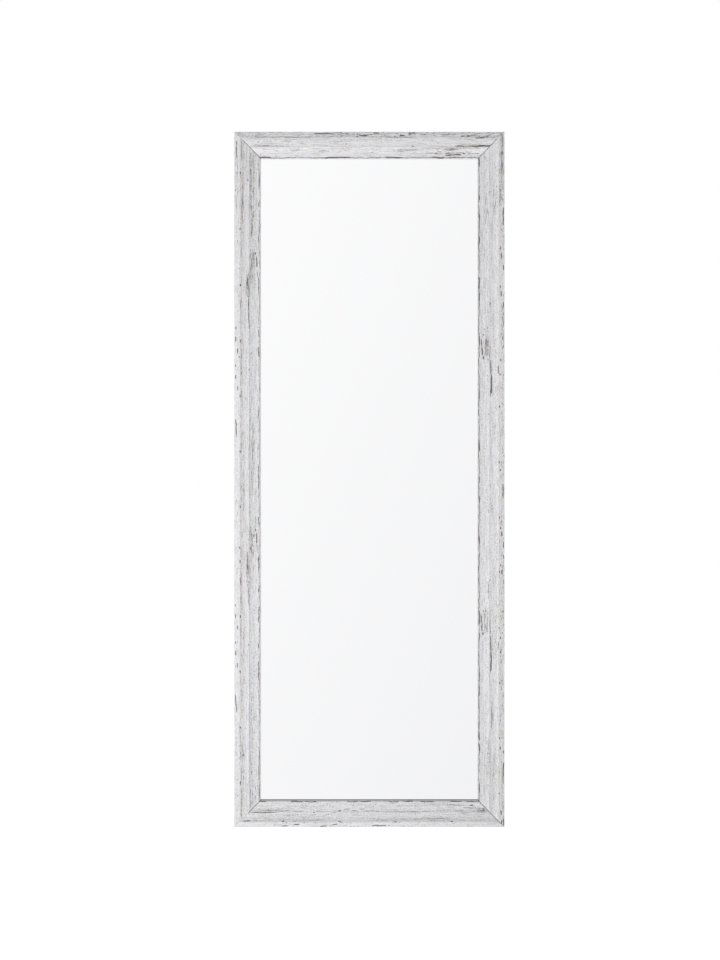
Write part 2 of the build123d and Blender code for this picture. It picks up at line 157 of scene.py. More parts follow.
class Finish:
    """A node tree that is filled through one method, node."""

    def __init__(self, tree):
        tree.nodes.clear()
        self.tree = tree

    def node(self, kind, settings=None, sockets=None, output=0):
        """Adds a node, sets it up, fills its sockets with numbers or links, and returns one output."""
        made = self.tree.nodes.new(kind)
        for name, value in (settings or {}).items():
            if name == "stops":
                self.set_stops(made.color_ramp, value)
            else:
                setattr(made, name, value)
        for key, value in (sockets or {}).items():
            if isinstance(value, Socket):
                self.tree.links.new(value.output, made.inputs[key])
            else:
                made.inputs[key].default_value = value
        return Socket(self, made.outputs[output]) if made.outputs else made

    @staticmethod
    def set_stops(ramp, stops):
        """Gives a colour ramp its stops."""
        while len(ramp.elements) < len(stops):
            ramp.elements.new(1.0)
        for element, (place, colour) in zip(ramp.elements, stops):
            element.position = place
            element.color = colour

    def mix(self, factor, first, second):
        """The first colour where factor is 0 and the second where it is 1."""
        return self.node("ShaderNodeMix", {"data_type": "RGBA"}, {0: factor, 6: first, 7: second}, 2)

    def ramp(self, value, *stops):
        """A colour that runs through stops, each a place from 0 to 1 and a colour."""
        return self.node("ShaderNodeValToRGB", {"stops": stops}, {"Fac": value})

    def stretched(self, place, scale, shift=(0, 0, 0)):
        """A place scaled along each axis and then shifted."""
        return self.node("ShaderNodeMapping", None, {"Vector": place, "Scale": scale, "Location": shift})

    def noise(self, place, scale=1.0, detail=2.0, roughness=0.5, distortion=0.0):
        """Cloudy noise, about 0.5 in the middle of its range."""
        sockets = {"Vector": place, "Scale": scale, "Detail": detail}
        sockets.update({"Roughness": roughness, "Distortion": distortion})
        return self.node("ShaderNodeTexNoise", None, sockets)

    def bump(self, height, distance, strength=1.0):
        """Small relief, distance being how far a height of 1 stands out."""
        sockets = {"Height": height, "Distance": distance, "Strength": strength}
        return self.node("ShaderNodeBump", None, sockets)

    def shine(self, sockets):
        """Ends the tree in one surface with the given sockets."""
        surface = self.node("ShaderNodeBsdfPrincipled", None, sockets)
        self.node("ShaderNodeOutputMaterial", None, {"Surface": surface})


# ---- Shaping by hand ---------------------------------------------------------------------------------
def start_piece(name, add, **size):
    """Adds a primitive as the start of a piece, with nothing else selected."""
    if bpy.context.object and bpy.context.object.mode != "OBJECT":
        bpy.ops.object.mode_set(mode="OBJECT")
    bpy.ops.object.select_all(action="DESELECT")
    add(**size)
    piece = bpy.context.object
    piece.name = piece.data.name = name
    return piece


def make_active(piece):
    """Selects a piece alone and makes it the active one."""
    bpy.ops.object.select_all(action="DESELECT")
    bpy.context.view_layer.objects.active = piece
    piece.select_set(True)


def select_where(piece, wanted, kind="VERT"):
    """Selects in edit mode the vertices or faces whose place or normal is wanted."""
    bpy.ops.object.mode_set(mode="EDIT")
    bpy.ops.mesh.select_mode(type=kind)
    bpy.ops.mesh.select_all(action="DESELECT")
    bpy.ops.object.mode_set(mode="OBJECT")
    for part in piece.data.vertices if kind == "VERT" else piece.data.polygons:
        part.select = wanted(part)
    bpy.ops.object.mode_set(mode="EDIT")


def apply_modifier(piece, name, kind, **settings):
    """Adds a modifier with its settings and applies it."""
    modifier = piece.modifiers.new(name, kind)
    for setting, value in settings.items():
        setattr(modifier, setting, value)
    make_active(piece)
    bpy.ops.object.modifier_apply(modifier=modifier.name)


def settle(piece, place, body, slot, *replaced):
    """Puts a finished piece in its place with its object at the origin, and hangs it on its body."""
    piece.matrix_world = place
    make_active(piece)
    bpy.ops.object.transform_apply(location=True, rotation=True, scale=True)
    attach(piece, body)
    if replaced:
        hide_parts(*replaced)
    return piece


def coordinates(piece):
    """A piece's vertices as rows of X, Y and Z."""
    places = np.empty(len(piece.data.vertices) * 3)
    piece.data.vertices.foreach_get("co", places)
    return places.reshape(-1, 3)


# ---- The four rails ----------------------------------------------------------------------------------
def run(start, end, count, sag=0.0):
    """Points after start up to end, evenly spread, sagging below the straight line."""
    shares = (i / count for i in range(1, count + 1))
    return [(start[0] + (end[0] - start[0]) * t,
             start[1] + (end[1] - start[1]) * t - 4 * sag * t * (1 - t)) for t in shares]


def moulding_outline():
    """Closed line of the section, with points close together on its face."""
    ridge = (ridge_offset, ridge_height)
    crease_top = (crease_offset, crease_height)
    crease_foot = (crease_offset + crease_run, crease_height - crease_drop)
    arris = (face_width - sight_slope_width, arris_height)
    sight = (face_width, lip_height)
    edge = (0.0, outer_edge_height)
    ease = 0.5 * MM
    bevel_slope = (ridge_height - outer_edge_height) / ridge_offset
    before_ridge = (ridge_offset - ease, ridge_height - ease * bevel_slope)
    after_ridge = (ridge_offset + ease, ridge_height - 0.22 * MM)
    points = [(0.0, back_skin)]
    points += run(points[-1], (0.0, outer_edge_height - 0.7 * MM), 10)
    points += [(0.2 * MM, outer_edge_height - 0.1 * MM), (0.8 * MM, outer_edge_height + 0.35 * MM)]
    points += run(points[-1], before_ridge, 18)
    points += [(ridge_offset, ridge_height - 0.12 * MM), after_ridge]
    points += run(after_ridge, crease_top, 30, scoop_depth)
    points += run(crease_top, crease_foot, 2)
    points += run(crease_foot, arris, 30, scoop_depth)
    points += run(arris, sight, 9)
    points += run(sight, (rebate_offset, lip_height), 2)
    points += run((rebate_offset, lip_height), (rebate_offset, back_skin), 3)
    points += run((rebate_offset, back_skin), (0.0, back_skin), 12)
    return points[:-1]


def trace(name, outline, start_y=0.0):
    """A closed line of edges through points given by their X and Z."""
    line = start_piece(name, bpy.ops.mesh.primitive_plane_add, size=1 * MM)
    bpy.ops.object.mode_set(mode="EDIT")
    bpy.ops.mesh.select_mode(type="VERT")
    bpy.ops.mesh.select_all(action="SELECT")
    bpy.ops.mesh.merge(type="CENTER")
    bpy.ops.transform.translate(value=(outline[0][0], start_y, outline[0][1]))
    for (x, z), (next_x, next_z) in zip(outline, outline[1:] + outline[:1]):
        bpy.ops.mesh.extrude_vertices_move(TRANSFORM_OT_translate={"value": (next_x - x, 0, next_z - z)})
    bpy.ops.mesh.select_all(action="SELECT")
    bpy.ops.mesh.remove_doubles(threshold=0.01 * MM)
    bpy.ops.object.mode_set(mode="OBJECT")
    return line


def make_moulding(length):
    """A stick of the moulding along Y, its outer edge at X 0, traced point by point and drawn out."""
    spare = 10 * MM
    stick = trace("moulding", moulding_outline(), -spare)
    steps = round((length + 2 * spare) / rail_step)
    apply_modifier(stick, "draw_out", "SCREW", angle=0, axis="Y", screw_offset=length + 2 * spare,
                   steps=steps, render_steps=steps, use_normal_calculate=True)
    return stick


def mitre(rail, length):
    """Cuts both ends at 45 degrees and eases the edges of the cuts into a fine open joint."""
    bpy.ops.object.mode_set(mode="EDIT")
    for foot, outward in ((0.0, (1, -1, 0)), (length, (1, 1, 0))):
        inward = Vector(outward).normalized() * -1
        bpy.ops.mesh.select_all(action="SELECT")
        bpy.ops.mesh.bisect(plane_co=(0, foot, 0), plane_no=outward, use_fill=True, clear_outer=True)
        for setback in joint_setbacks:
            bpy.ops.mesh.select_all(action="SELECT")
            bpy.ops.mesh.bisect(plane_co=Vector((0, foot, 0)) + inward * setback, plane_no=outward)
    bpy.ops.mesh.select_all(action="SELECT")
    bpy.ops.mesh.remove_doubles(threshold=0.03 * MM)
    bpy.ops.mesh.dissolve_degenerate(threshold=0.01 * MM)
    bpy.ops.mesh.normals_make_consistent(inside=False)

    def on_cut(vertex):
        """Whether a vertex lies on a mitre's cut, in the upper half of the section."""
        x, y, z = vertex.co
        return min(abs(y - x), abs(length - y - x)) < 0.02 * MM and z > outer_edge_height / 2

    select_where(rail, on_cut)
    bpy.ops.transform.translate(value=(0, 0, -joint_depth))
    bpy.ops.object.mode_set(mode="OBJECT")
    uses = Counter(key for polygon in rail.data.polygons for key in polygon.edge_keys)
    select_where(rail, lambda polygon: any(uses[key] == 1 for key in polygon.edge_keys), "FACE")
    bpy.ops.mesh.delete(type="FACE")
    bpy.ops.object.mode_set(mode="OBJECT")


def rout_pockets(rail):
    """Routs the round-ended pocket behind each keyhole hanger out of the top rail's back."""
    low, high = leaning_box("keyhole_hangers")
    to_rail = (on_mirror @ rail_places["top"]).inverted()
    middle = (low.y + high.y) / 2 + pocket_rise
    for hanger in (mount for mount in frame["record"]["mounts"] if mount["name"].startswith("keyhole")):
        cutter = start_piece("pocket", bpy.ops.mesh.primitive_cylinder_add, vertices=32,
                             radius=pocket_width / 2, depth=2 * pocket_depth)
        for side in (-1, 1):
            select_where(cutter, lambda vertex: vertex.co.y * side > 0.01 * MM)
            bpy.ops.transform.translate(value=(0, side * (pocket_height - pocket_width) / 2, 0))
            bpy.ops.object.mode_set(mode="OBJECT")
        across = hanger["pos_m"][0]
        cutter.matrix_world = to_rail @ tilt @ Matrix.Translation((across, middle, rails_low.z))
        make_active(cutter)
        bpy.ops.object.transform_apply(location=True, rotation=True, scale=True)
        apply_modifier(rail, "rout", "BOOLEAN", operation="DIFFERENCE", object=cutter, solver="EXACT")
        bpy.data.objects.remove(cutter)
    make_active(rail)
    bpy.ops.object.mode_set(mode="EDIT")
    bpy.ops.mesh.select_all(action="SELECT")
    bpy.ops.mesh.remove_doubles(threshold=0.03 * MM)
    bpy.ops.mesh.dissolve_degenerate(threshold=0.01 * MM)
    bpy.ops.object.mode_set(mode="OBJECT")


pocket_width = 14 * MM
pocket_height = 27 * MM
pocket_depth = 9 * MM
pocket_rise = 0.5 * MM  # the pocket's middle above the hanger's
rail_step = 2.5 * MM
joint_setbacks = (0.7 * MM, 1.6 * MM)
joint_depth = 0.7 * MM
half_turn = Matrix.Rotation(math.pi, 4, "Z")
quarter_turn = Matrix.Rotation(math.pi / 2, 4, "Z")
rail_places = {
    "left": Matrix.Translation((-frame_width / 2, 0, 0)),
    "right": Matrix.Translation((frame_width / 2, frame_height, 0)) @ half_turn,
    "top": Matrix.Translation((-frame_width / 2, frame_height, 0)) @ quarter_turn.inverted(),
    "bottom": Matrix.Translation((frame_width / 2, 0, 0)) @ quarter_turn,
}


def strokes(across, along, marks):
    """Strength from 0 to 1 of soft strokes, each (distance from the outer edge, start, end, half width,
    strength, slant), all but the strength in millimetres."""
    shade = np.zeros(len(across))
    for place, first, last, half_width, strength, slant in marks:
        reach = (along - (first + last) / 2) / (abs(last - first) / 2)
        waver = 0.35 * np.sin(along / 4.3 + place) + 0.5 * np.sin(along / 17.0 + 2 * place)
        off_line = (across - place - slant * reach - waver) / half_width
        stroke = strength * np.clip(1.15 - np.abs(reach) ** 3, 0, 1) * np.exp(-off_line ** 2)
        shade = np.maximum(shade, np.where(np.abs(reach) < 1.1, stroke, 0))
    return shade


def dashes(across, spans, half_width=1.4, strength=1.1, slant=0.0):
    """Strokes one behind the other, each (start, end) in millimetres along the rail."""
    return [(across, first, last, half_width, strength, slant) for first, last in spans]


def dots(across, places, length=8.0, half_width=1.6, strength=1.15):
    """Short strokes centred on places, one behind the other."""
    return dashes(across, [(p - length / 2, p + length / 2) for p in places], half_width, strength)


def scattered(seed, count, inner, outer, first, last, longest=10.0, strength=0.95):
    """Small strokes thrown over a stretch of the rail, the same each time."""
    throw = np.random.default_rng(seed)
    marks = []
    for _ in range(count):
        place, start = throw.uniform(inner, outer), throw.uniform(first, last)
        length = throw.uniform(4, longest)
        half_width, share = throw.uniform(0.8, 1.3), throw.uniform(0.6, 1)
        marks.append((place, start, start + length, half_width, share * strength, 0))
    return marks


def left_wear_and_shade():
    """Cracks, grime and painted shade lines of the left rail, measured up from its foot."""
    crack_and_shade_marks = dots(16.2, (115, 259, 403, 545, 687, 830, 972, 1115, 1257, 1402, 1547, 1692))
    crack_and_shade_marks += dots(13.8, (724, 1217, 1445), 5) + dots(9.0, (83, 1517), 5, 1.3, 0.8)
    crack_and_shade_marks += dashes(6.0, [(1724, 1782)], 1.1) + dashes(4.6, [(1007, 1062), (292, 346)], 1.3, 1.0, -1.7)
    crack_and_shade_marks += dashes(3.8, [(443, 457), (474, 482), (539, 554), (570, 578), (1159, 1172), (1190, 1198),
                           (1256, 1271), (1287, 1296)], 1.3, 1.0)
    crack_and_shade_marks += dashes(9.0, [(412, 427), (510, 524), (1129, 1143), (1226, 1240)], 1.3, 1.05)
    crack_and_shade_marks += dashes(17.4, [(627, 651), (1340, 1366)], 1.0, 0.9) + dots(38.2, (472, 1184), 6, 1.2, 0.9)
    for start in (565, 1281):
        crack_and_shade_marks += dashes(38.4, [(start, start + 62)], 1.2, 0.85, -0.8)
        crack_and_shade_marks += dashes(36.5, [(start + 50, start + 92)], 1.0, 0.7)
        crack_and_shade_marks += dashes(34.5, [(start + 80, start + 142)], 1.5, 0.62, -0.8)
        crack_and_shade_marks += dashes(58.2, [(start + 166, start + 198)], 1.4, 1.1, -0.6)
        crack_and_shade_marks += dots(55.6, (start + 204,), 8, 1.5)
        crack_and_shade_marks += dashes(60.6, [(start + 140, start + 166)], 0.9, 0.7, -1.0)
        crack_and_shade_marks += dashes(55.0, [(start + 210, start + 245)], 0.8, 0.6)
        crack_and_shade_marks += scattered(start, 26, 42, 52, start + 130, start + 210, 12, 0.6)
        crack_and_shade_marks += scattered(start + 1, 20, 32, 40, start + 60, start + 145, 14, 0.65)
    crack_and_shade_marks += dashes(64.4, [(65, 110), (118, 206), (1500, 1560), (1605, 1622), (1646, 1704)], 1.2)
    crack_and_shade_marks += dashes(63.2, [(376, 432), (461, 476), (525, 576), (608, 618), (655, 706), (780, 806),
                            (864, 950), (1060, 1094), (1215, 1247), (1267, 1291), (1375, 1430)], 1.0, 1.0)
    # painted shade: the full-length line at the sight edge is partly worn paint, partly the lip's shaded
    # inner wall; the one along the crease is partly dirt, partly the shade under its step
    crack_and_shade_marks += dashes(64.6, [(-300, 2100)], 0.9, 0.66) + dashes(39.8, [(-300, 2100)], 0.8, 0.4)
    crack_and_shade_marks += dashes(55.8, [(60, 116)], 0.9, 0.7) + dashes(47.5, [(55, 104)], 0.9, 0.62)
    crack_and_shade_marks += dashes(42.8, [(42, 108)], 1.0, 0.66)
    crack_and_shade_marks += dashes(20.3, [(16, 118), (1712, 1784)], 0.9, 0.75) + dashes(43.0, [(1690, 1757)], 1.0, 0.65)
    grime = [(22, s, s + 150, 4.0, 0.6, 1.0) for s in (90, 806, 1545)]
    grime += [(36, s + 55, s + 145, 4.5, 1.0, -1.0) for s in (565, 1281)]
    grime += [(46, s + 130, s + 215, 6.0, 1.0, 2.0) for s in (565, 1281)]
    grime += [(44, 45, 330, 3.5, 0.4, 0), (19, 60, 1740, 1.8, 0.35, 0), (46, 850, 1060, 5, 0.55, 0)]
    grime += [(46, 1500, 1740, 5, 0.6, 0), (6, 1600, 1740, 4, 0.5, 0), (24, 420, 520, 4, 0.4, 1)]
    return crack_and_shade_marks, grime


def right_wear_and_shade():
    """Cracks, grime and a painted shade line of the right rail, measured up from its foot."""
    crack_and_shade_marks = dots(13.6, (88, 231, 374, 517, 660, 802, 945, 1088), 6) + dots(6.0, (380, 1097), 5, 1.4)
    crack_and_shade_marks += dots(10.8, (205, 454, 490, 678, 774, 924, 1171, 1209, 1398, 1497, 1648), 7)
    crack_and_shade_marks += dashes(16.2, [(458, 482), (1172, 1197)], 1.2) + dots(38.0, (640, 1355), 6, 1.3)
    crack_and_shade_marks += dashes(3.4, [(108, 172), (848, 892), (1553, 1607)], 1.5)
    crack_and_shade_marks += dashes(8.8, [(31, 46), (1372, 1388), (1469, 1486)], 1.5)
    crack_and_shade_marks += dashes(6.4, [(654, 668), (751, 766)], 2.2, 0.95)
    crack_and_shade_marks += dashes(1.6, [(627, 641), (696, 706), (721, 739)], 1.4)
    crack_and_shade_marks += dashes(2.0, [(1343, 1359), (1441, 1456), (190, 198), (5, 22)], 1.5)
    crack_and_shade_marks += dashes(7.0, [(8, 20)], 2.5, 0.8)
    for start in (395, 1110):
        crack_and_shade_marks += dashes(34.8, [(start + 6, start + 64)], 1.7, 0.95)
        crack_and_shade_marks += dashes(36.4, [(start, start + 30)], 1.0, 0.8)
        crack_and_shade_marks += dashes(36.2, [(start + 58, start + 104)], 1.3, 0.9)
        crack_and_shade_marks += dashes(37.6, [(start + 98, start + 152)], 1.1, 0.8)
        crack_and_shade_marks += dots(55.2, (start + 105,), 8) + dashes(58.0, [(start + 110, start + 134)], 1.5, 1.1, 0.8)
        crack_and_shade_marks += dashes(60.0, [(start + 130, start + 158)], 1.3, 1.0, 0.6)
        crack_and_shade_marks += dots(55.0, (start + 163,), 5, 1.3)
        crack_and_shade_marks += dashes(55.5, [(start + 50, start + 96)], 0.8, 0.6)
        crack_and_shade_marks += scattered(start, 22, 43, 52, start + 104, start + 162, 10, 0.66)
        crack_and_shade_marks += scattered(start + 1, 12, 42, 62, start + 150, start + 200, 8, 0.7)
    crack_and_shade_marks += dashes(42.0, [(583, 642)], 0.9, 0.8) + dashes(42.4, [(808, 826), (853, 862)], 0.9, 0.7)
    crack_and_shade_marks += scattered(5, 34, 1.5, 9, 1235, 1345, 9, 0.8) + scattered(6, 20, 1.5, 12, 430, 560, 8, 0.8)
    crack_and_shade_marks += scattered(7, 26, 1.5, 12, 1380, 1560, 8, 0.8) + scattered(8, 16, 1.5, 12, 20, 100, 8, 0.8)
    crack_and_shade_marks += scattered(9, 30, 1.5, 13, 560, 1230, 7, 0.7) + scattered(10, 16, 1.5, 13, 1560, 1780, 7, 0.7)
    crack_and_shade_marks += dashes(65.2, [(88, 114), (188, 216), (223, 247), (338, 367), (372, 402), (486, 502),
                            (523, 562), (694, 714), (728, 757), (838, 860), (890, 907), (970, 1004),
                            (1105, 1137), (1215, 1227), (1247, 1272), (1360, 1384), (1390, 1427),
                            (1508, 1532), (1548, 1592), (1622, 1637), (1708, 1734)], 1.4, 1.15)
    # the full-length line at the sight edge is partly worn paint, partly painted shade of the lip's inner
    # wall
    crack_and_shade_marks += dashes(66.3, [(-300, 2100)], 1.2, 0.80) + dashes(13.4, [(1590, 1784)], 0.9, 0.62)
    grime = [(47.0, s, s + 58, 5, 0.9, 1.0) for s in (1213, 500)]
    grime += [(35.0, s, s + 95, 3, 0.9, 0.6) for s in (400, 1115)]
    grime += [(26.0, 125, 205, 4, 0.6, 0), (6.0, -100, 1900, 6, 0.3, 0), (25.0, 1580, 1650, 5, 0.55, 0)]
    grime += [(46.0, 1560, 1650, 5, 0.5, 0), (43.0, 120, 240, 4, 0.4, 0), (4.0, 1230, 1345, 4, 0.7, 0)]
    grime += [(2.0, 0, 30, 5, 0.8, 0), (6.0, 1600, 1900, 6, 1.0, 0), (33.0, 250, 330, 4, 0.4, 0)]
    return crack_and_shade_marks, grime


def top_wear_and_shade():
    """Cracks, grime and a painted shade line of the top rail, measured from its left end."""
    crack_and_shade_marks = dashes(5.2, [(202, 256)], 1.7) + dashes(3.2, [(274, 280), (359, 376), (449, 472)], 1.7)
    crack_and_shade_marks += dashes(10.4, [(324, 346), (427, 443)], 1.6) + dots(13.8, (318, 417), 6)
    crack_and_shade_marks += dots(8.0, (355, 454), 8, 1.3)
    crack_and_shade_marks += dashes(12.8, [(586, 596), (602, 613)], 1.4) + dashes(14.4, [(644, 658)], 1.2)
    crack_and_shade_marks += dashes(18.4, [(621, 648)], 1.0)
    crack_and_shade_marks += dashes(15.8, [(18, 130), (120, 206), (376, 482), (596, 684)], 1.0, 0.72)
    crack_and_shade_marks += dashes(37.2, [(628, 672)], 1.7, 1.05) + dashes(38.8, [(560, 646)], 1.2, 0.9)
    crack_and_shade_marks += dots(38.8, (462,), 7, 1.5)
    crack_and_shade_marks += dashes(59.0, [(550, 592)], 1.5, 1.05, -1.4) + dashes(61.5, [(545, 562)], 1.2, 0.9)
    crack_and_shade_marks += dots(56.2, (594,), 8)
    crack_and_shade_marks += dashes(56.4, [(598, 642)], 0.9, 0.75) + dots(56.0, (523, 551), 7, 1.3)
    crack_and_shade_marks += dashes(60.0, [(572, 590)], 1.2, 0.9)
    crack_and_shade_marks += dashes(48.0, [(146, 178), (222, 238)], 0.9, 0.75, -1.0) + dashes(45.0, [(62, 118)], 0.7, 0.5)
    crack_and_shade_marks += scattered(1, 34, 44, 53, 500, 600, 10, 0.62) + scattered(2, 26, 46, 62, 425, 560, 10, 0.6)
    crack_and_shade_marks += scattered(3, 56, 1, 14, 250, 700, 9, 0.85) + scattered(4, 20, 1, 14, 10, 240, 9, 0.65)
    crack_and_shade_marks += dashes(66.3, [(64, 98), (224, 308), (386, 438), (508, 546)], 1.4, 1.2)
    # the full-length line at the sight edge is partly worn paint, partly painted shade of the lip's inner
    # wall
    crack_and_shade_marks += dashes(66.5, [(-300, 1000)], 1.0, 0.73) + dots(66.3, (560, 572), 6, 1.3)
    grime = [(8, -300, 1000, 7, 0.6, 0), (30, 60, 330, 9, 0.2, 0), (38, 40, 200, 3, 0.5, 0)]
    grime += [(48, 500, 600, 6, 0.75, 0), (49, 410, 520, 6, 0.45, 0)]
    grime += [(38, 560, 680, 3, 0.7, 0), (57, 540, 620, 5, 0.5, 0)]
    return crack_and_shade_marks, grime


def bottom_wear_and_shade():
    """Cracks, grime and painted shade of the bottom rail, measured from its left end."""
    # the dashes at 41 mm run along the crease: partly dirt, partly painted shade under its step
    crack_and_shade_marks = dashes(38.4, [(36, 116)], 1.2, 0.95, 0.6) + dashes(41.0, [(110, 300), (280, 520)], 0.8, 0.4)
    crack_and_shade_marks += dashes(2.6, [(124, 140), (221, 239)], 1.6) + dashes(7.5, [(154, 170), (253, 269)], 1.7, 0.85)
    crack_and_shade_marks += dots(15.4, (127, 273, 417, 563), 8) + dots(13.0, (181, 278, 428), 5, 1.3, 0.9)
    crack_and_shade_marks += dashes(17.4, [(23, 45)], 1.5)
    crack_and_shade_marks += dots(38.4, (206,), 6, 1.3) + dots(42.5, (273,), 8, 1.4)
    crack_and_shade_marks += dashes(47.0, [(280, 302), (324, 342)], 1.0, 0.75)
    crack_and_shade_marks += dashes(4.4, [(352, 396)], 1.3) + dots(7.5, (605,), 6, 1.3, 0.7)
    crack_and_shade_marks += dashes(42.2, [(300, 322)], 1.0, 0.8)
    crack_and_shade_marks += dashes(56.8, [(560, 604)], 0.8, 0.6) + dots(56.8, (615,), 8, 1.4)
    crack_and_shade_marks += dashes(50.0, [(585, 632)], 0.9, 0.65)
    crack_and_shade_marks += scattered(11, 16, 40, 51, 620, 655, 9, 0.8) + scattered(12, 24, 1.5, 13, 20, 420, 7, 0.7)
    crack_and_shade_marks += scattered(13, 12, 42, 50, 50, 120, 9, 0.65)
    crack_and_shade_marks += dashes(65.6, [(64, 84), (144, 182), (180, 216), (290, 322), (324, 356), (398, 428),
                            (440, 466), (478, 524), (556, 592), (598, 636)], 1.1, 1.05)
    grime = [(45, 625, 655, 5, 1.0, 0), (19, 340, 580, 3.5, 0.45, 0), (42, 60, 300, 3, 0.5, 0)]
    grime += [(42, 330, 660, 3, 0.5, 0), (24, 480, 580, 4, 0.35, 0), (55, 540, 640, 4, 0.45, 0)]
    grime += [(19, 80, 250, 2.5, 0.4, 0), (30, 60, 220, 5, 0.2, 0)]
    return crack_and_shade_marks, grime


wear_and_shade_of = {"left": left_wear_and_shade, "right": right_wear_and_shade, "top": top_wear_and_shade, "bottom": bottom_wear_and_shade}


def rail_wear_and_painted_light(side, across, along, height):
    """Crack and painted shade line, rub and grime strengths, and the paleness of the wash with its painted
    light and shade, at places given in millimetres.
    """
    length = (frame_width if side in ("top", "bottom") else frame_height) / MM
    measured = along if side in ("left", "top") else length - along
    crack_and_shade_marks, grime = wear_and_shade_of[side]()
    crack_and_shade = strokes(across, measured, crack_and_shade_marks)
    joint = np.minimum(np.abs(along - across), np.abs(length - along - across))
    on_face = height > face_from
    ridge, crease = ridge_offset / MM, crease_offset / MM + 0.3
    darkness, reach = np.where(measured < length / 2, *(np.array(corner_joints[corner])[:, None]
                                                        for corner in rail_corners[side]))
    joint_line = np.clip(joint_width - joint, 0, 1) * on_face * np.clip((across - reach) / 6, 0.3, 1)
    crack_and_shade = np.maximum(crack_and_shade * (height > cracks_from), darkness * joint_line)
    crack_and_shade = np.maximum(crack_and_shade, np.clip(back_joint_width - joint, 0, 1) * (height < back_below))
    broken = np.clip(0.72 + 0.4 * np.sin(along / 9.7 + 1.3) * np.sin(along / 23.0), 0, 1)
    rub = np.exp(-((across - ridge) / rub_width) ** 2) * broken * ridge_rub[side]
    rub = np.maximum(rub, np.exp(-((across - crease) / rub_width) ** 2) * broken * crease_rub[side])
    worn_sight = sight_rub * np.exp(-((across - sight_rub_place[side]) / sight_rub_width) ** 2)
    rub = np.maximum(rub, worn_sight * broken * on_face)
    bevel, crest, hollow, step, lip, sight = wash_and_painted_light_of[side]
    levels = (bevel, bevel, crest, crest, hollow, hollow, step, hollow, hollow, lip, sight)
    wash_and_painted_light = np.interp(across, wash_places, levels)
    return crack_and_shade, rub, strokes(across, measured, grime), wash_and_painted_light


# Millimetres of a rail: heights above its back, and widths
face_from = 12.0
cracks_from = 5.0
back_below = 1.0
joint_width = 1.32
back_joint_width = 1.1
rub_width = 1.2
sight_rub_width = 0.9
# How dark each open mitre is, and how far from the outer edge the dark begins
corner_joints = {"foot_left": (1.1, 33), "head_left": (1.0, 16),
                 "head_right": (1.05, 16), "foot_right": (1.3, 0)}
rail_corners = {"left": ("foot_left", "head_left"), "right": ("foot_right", "head_right"),
                "top": ("head_left", "head_right"), "bottom": ("foot_left", "foot_right")}
ridge_rub = {"left": 1.2, "right": 1.15, "top": 0.65, "bottom": 1.1}
crease_rub = {"left": 0.6, "right": 0.95, "top": 0.9, "bottom": 0.8}
sight_rub = 0.8
sight_rub_place = {"left": 66.2, "right": 63.9, "top": 66.8, "bottom": 62.8}
# Where the wash changes, from the outer edge: bevel to 13, ridge 15 to 18, a hollow to 37, the step at 40,
# the other hollow to 63, then the lip and the sight edge
wash_places = (0, 13, 15, 18, 30, 37, 40, 43, 63, 66, 69)
# Painted light and shade: each rail's bevel, hollows and lip are paler or darker as light falls on that rail,
# and the bottom rail's dark sight edge is painted shade of its lip's inner wall
wash_and_painted_light_of = {  # how pale it is on the bevel, ridge, hollows, step, lip and sight edge, 1 being plain
    "left": (1.0, 0.95, 1.0, 0.95, 1.2, 1.4),
    "right": (1.2, 1.05, 1.0, 1.0, 0.9, 0.8),
    "top": (1.2, 0.9, 1.1, 1.0, 1.0, 0.9),
    "bottom": (1.1, 0.85, 1.0, 0.95, 1.0, 0.3),
}


def weigh(piece, name, weights):
    """A vertex group with the given weights, in steps of a twentieth."""
    group = piece.vertex_groups.new(name=name)
    levels = np.round(np.clip(weights, 0, 1) * 20)
    for level in range(1, 21):
        chosen = np.flatnonzero(levels == level)
        if len(chosen):
            group.add(chosen.tolist(), level / 20, "REPLACE")


def carve(piece, group, depth, texture=None, guide=None, middle=0.0):
    """Sinks the weighted part of a piece, evenly or by a texture that rises above and falls below middle."""
    settings = {"strength": -depth, "mid_level": middle, "vertex_group": group}
    if texture:
        settings.update({"texture": texture, "texture_coords": "OBJECT", "texture_coords_object": guide})
    apply_modifier(piece, group, "DISPLACE", **settings)


